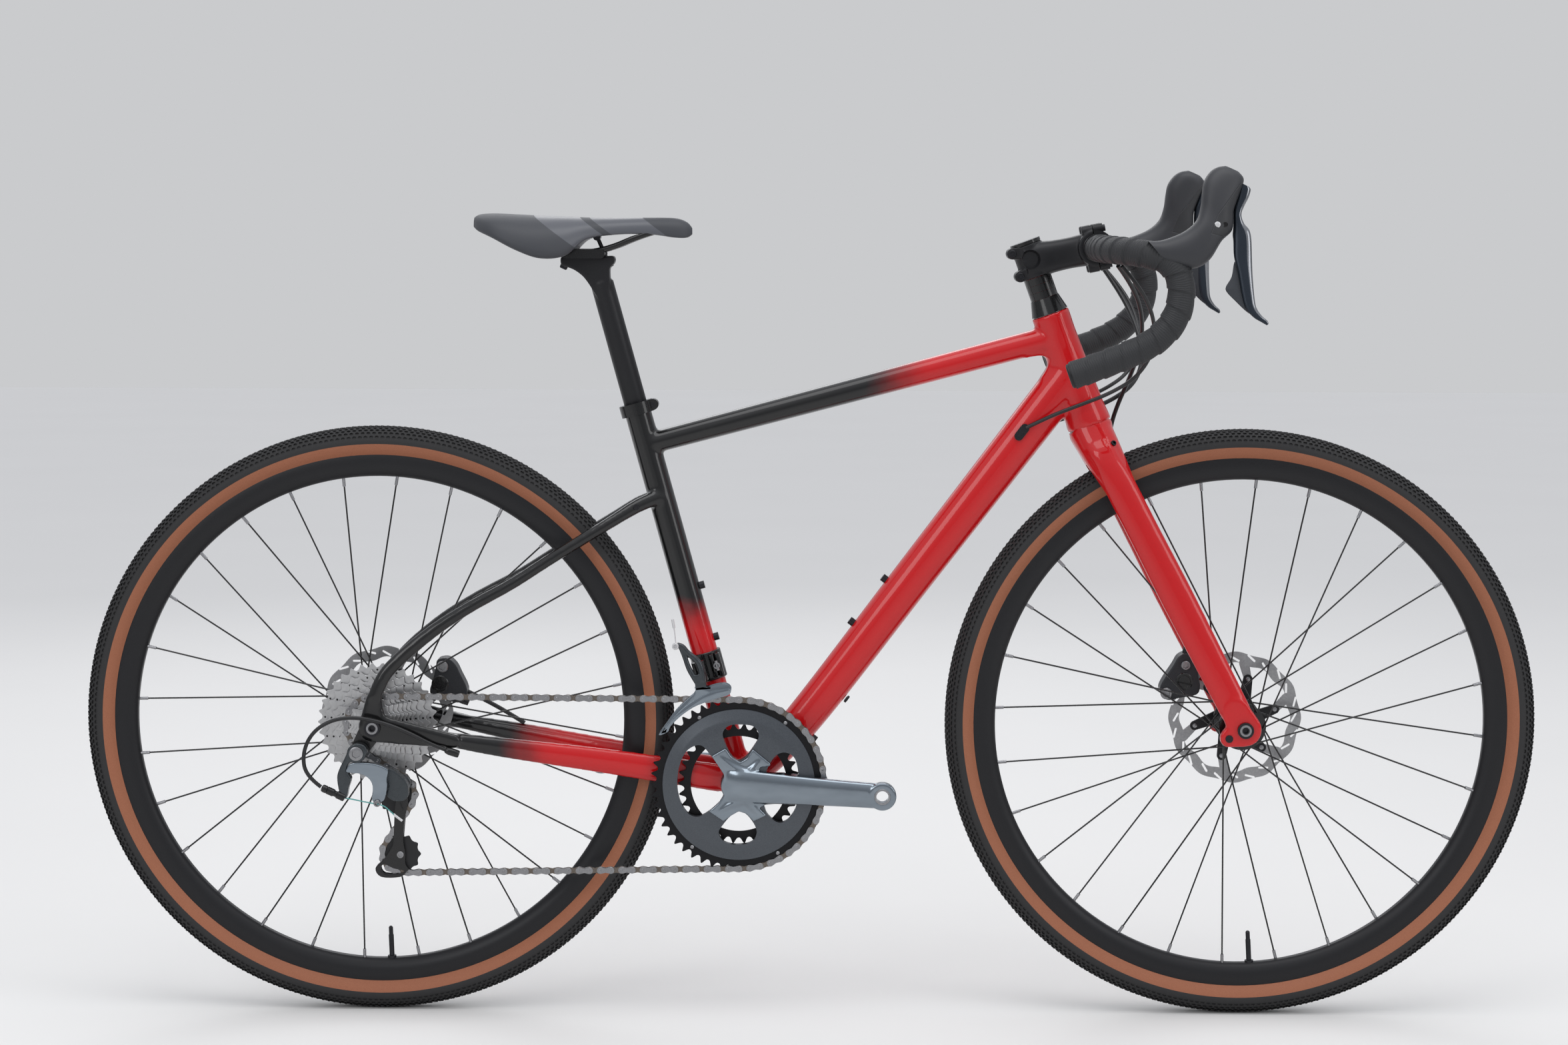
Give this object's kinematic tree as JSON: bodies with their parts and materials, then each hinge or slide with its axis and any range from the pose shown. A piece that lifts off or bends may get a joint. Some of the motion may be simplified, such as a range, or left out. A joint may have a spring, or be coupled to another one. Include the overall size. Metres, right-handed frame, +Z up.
{
  "type": "gravel bike",
  "caption": "Drop-bar gravel bike with disc brakes, tan-wall knobbly tyres, a double chainset and a frame that fades from red to black.",
  "frame": {"origin": "on the ground under the middle of the bike's box", "axes": "+X forward, +Y to the rider's left, +Z up"},
  "size_m": [1.727, 0.452, 1.0088],
  "materials": {
    "frame_paint": "gloss",
    "fork_paint": "gloss",
    "black_metal": "satin",
    "black_gloss": "gloss",
    "steel": "satin",
    "bolt_steel": "satin",
    "polished_alloy": "polished",
    "ring_grey": "satin",
    "tyre_rubber": "matte",
    "grip_rubber": "matte",
    "bar_wrap": "matte",
    "saddle_cover": "satin",
    "black_plastic": "matte"
  },
  "bodies": {
    "frame": {"head_tube": "frame_paint", "headset_bearings": "steel", "top_tube": "frame_paint", "down_tube": "frame_paint", "seat_tube": "frame_paint", "bottom_bracket_shell": "frame_paint", "bottom_bracket_cups": "black_metal", "chainstays": "frame_paint", "seatstays": "frame_paint", "dropouts": "black_gloss", "derailleur_hanger": "black_metal", "seat_clamp": "black_metal", "frame_fittings": "black_metal", "rear_axle": "black_metal", "rear_caliper": "black_metal", "front_derailleur_body": "polished_alloy", "chain": "steel", "derailleur_knuckle": "black_metal", "rear_cables": "black_plastic", "shift_housings": "black_plastic", "rear_brake_hose": "black_plastic"},
    "seat": {"seatpost": "black_metal", "saddle_clamp": "black_metal", "saddle_rails": "bolt_steel", "saddle": "saddle_cover"},
    "steering": {"fork": "fork_paint", "headset_spacers": "black_metal", "stem": "black_metal", "stem_faceplate": "black_metal", "steering_bolts": "bolt_steel", "handlebar": "black_plastic", "bar_tape": "bar_wrap", "lever_hoods": "grip_rubber", "front_caliper": "black_metal", "front_brake_hose": "black_plastic", "front_axle": "black_metal"},
    "front_wheel": {"front_tyre": "tyre_rubber", "front_rim": "black_gloss", "front_spokes": "bolt_steel", "front_hub": "black_metal", "front_rotor": "steel"},
    "rear_wheel": {"rear_tyre": "tyre_rubber", "rear_rim": "black_gloss", "rear_spokes": "bolt_steel", "rear_hub": "black_metal", "rear_rotor": "steel"},
    "cog_set": {"cassette": "steel"},
    "crankset": {"right_crank": "polished_alloy", "left_crank": "polished_alloy", "chainrings": "ring_grey"},
    "link": {"derailleur_link": "polished_alloy"},
    "lower_knuckle": {"cage_knuckle": "black_metal"},
    "chain_cage": {"derailleur_cage": "black_metal"},
    "guide_wheel": {"guide_pulley": "black_plastic"},
    "tension_wheel": {"tension_pulley": "black_plastic"},
    "front_shifter": {"front_derailleur_cage": "polished_alloy"},
    "right_lever": {"brake_lever_right": "black_metal"},
    "left_lever": {"brake_lever_left": "black_metal"},
    "right_paddle": {"shift_paddle_right": "black_plastic"},
    "left_paddle": {"shift_paddle_left": "black_plastic"}
  },
  "joints": [
    {"name": "steering", "type": "hinge", "parent": "frame", "child": "steering", "pos_m": [0.33042, 0, 0.70508], "axis": [-0.342, 0, 0.9397], "range_deg": [-45, 45], "deforming": ["shift_housings", "rear_brake_hose"]},
    {"name": "seatpost_slide", "type": "slide", "parent": "frame", "child": "seat", "axis": [-0.2672, 0, 0.9636], "range_m": [-0.06, 0.03]},
    {"name": "front_wheel_spin", "type": "hinge", "parent": "steering", "child": "front_wheel", "pos_m": [0.5125, 0, 0.351], "axis": [0, 1, 0], "continuous": true},
    {"name": "rear_wheel_spin", "type": "hinge", "parent": "frame", "child": "rear_wheel", "pos_m": [-0.5125, 0, 0.351], "axis": [0, 1, 0], "continuous": true},
    {"name": "crank_spin", "type": "hinge", "parent": "frame", "child": "crankset", "pos_m": [-0.08317, 0, 0.281], "axis": [0, 1, 0], "continuous": true, "deforming": ["chain"]},
    {"name": "cassette_spin", "type": "hinge", "parent": "frame", "child": "cog_set", "pos_m": [-0.5125, 0, 0.351], "axis": [0, 1, 0], "continuous": true},
    {"name": "derailleur_shift", "type": "hinge", "parent": "frame", "child": "link", "pos_m": [-0.5247, -0.086, 0.299], "axis": [0.0752, 0.6502, 0.756], "range_deg": [-12, 20], "stiffness_Nm_per_rad": 0.5, "deforming": ["chain"]},
    {"name": "knuckle_follow", "type": "hinge", "parent": "link", "child": "lower_knuckle", "pos_m": [-0.4847, -0.079, 0.289], "axis": [0.0752, 0.6502, 0.756], "range_deg": [-20, 12]},
    {"name": "cage_swing", "type": "hinge", "parent": "lower_knuckle", "child": "chain_cage", "pos_m": [-0.4812, -0.064, 0.283], "axis": [0, 1, 0], "range_deg": [-20, 25], "stiffness_Nm_per_rad": 0.6, "deforming": ["chain"]},
    {"name": "guide_pulley_spin", "type": "hinge", "parent": "chain_cage", "child": "guide_wheel", "pos_m": [-0.4882, -0.05415, 0.269], "axis": [0, 1, 0], "continuous": true},
    {"name": "tension_pulley_spin", "type": "hinge", "parent": "chain_cage", "child": "tension_wheel", "pos_m": [-0.4832, -0.05415, 0.197], "axis": [0, 1, 0], "continuous": true},
    {"name": "front_shift", "type": "hinge", "parent": "frame", "child": "front_shifter", "pos_m": [-0.13781, -0.044, 0.41217], "axis": [1, 0, 0], "range_deg": [0, 8], "stiffness_Nm_per_rad": 1, "springref_deg": -8.59},
    {"name": "right_brake", "type": "hinge", "parent": "steering", "child": "right_lever", "pos_m": [0.47703, -0.191, 0.97597], "axis": [0, 1, 0], "range_deg": [0, 16], "stiffness_Nm_per_rad": 0.6, "springref_deg": -8.59},
    {"name": "left_brake", "type": "hinge", "parent": "steering", "child": "left_lever", "pos_m": [0.47703, 0.191, 0.97597], "axis": [0, 1, 0], "range_deg": [0, 16], "stiffness_Nm_per_rad": 0.6, "springref_deg": -8.59},
    {"name": "right_shift", "type": "hinge", "parent": "right_lever", "child": "right_paddle", "pos_m": [0.48428, -0.19902, 0.89694], "axis": [0, -0.2198, -0.9755], "range_deg": [0, 12], "stiffness_Nm_per_rad": 0.1, "springref_deg": -5.73},
    {"name": "left_shift", "type": "hinge", "parent": "left_lever", "child": "left_paddle", "pos_m": [0.48428, 0.19902, 0.89694], "axis": [0, -0.2198, 0.9755], "range_deg": [0, 12], "stiffness_Nm_per_rad": 0.1, "springref_deg": -5.73}
  ],
  "couplings": [
    {"joint": "cassette_spin", "follows": "crank_spin", "ratio": 2.9412},
    {"joint": "guide_pulley_spin", "follows": "crank_spin", "ratio": -4.5455},
    {"joint": "tension_pulley_spin", "follows": "crank_spin", "ratio": 4.5455},
    {"joint": "knuckle_follow", "follows": "derailleur_shift", "ratio": -1}
  ]
}
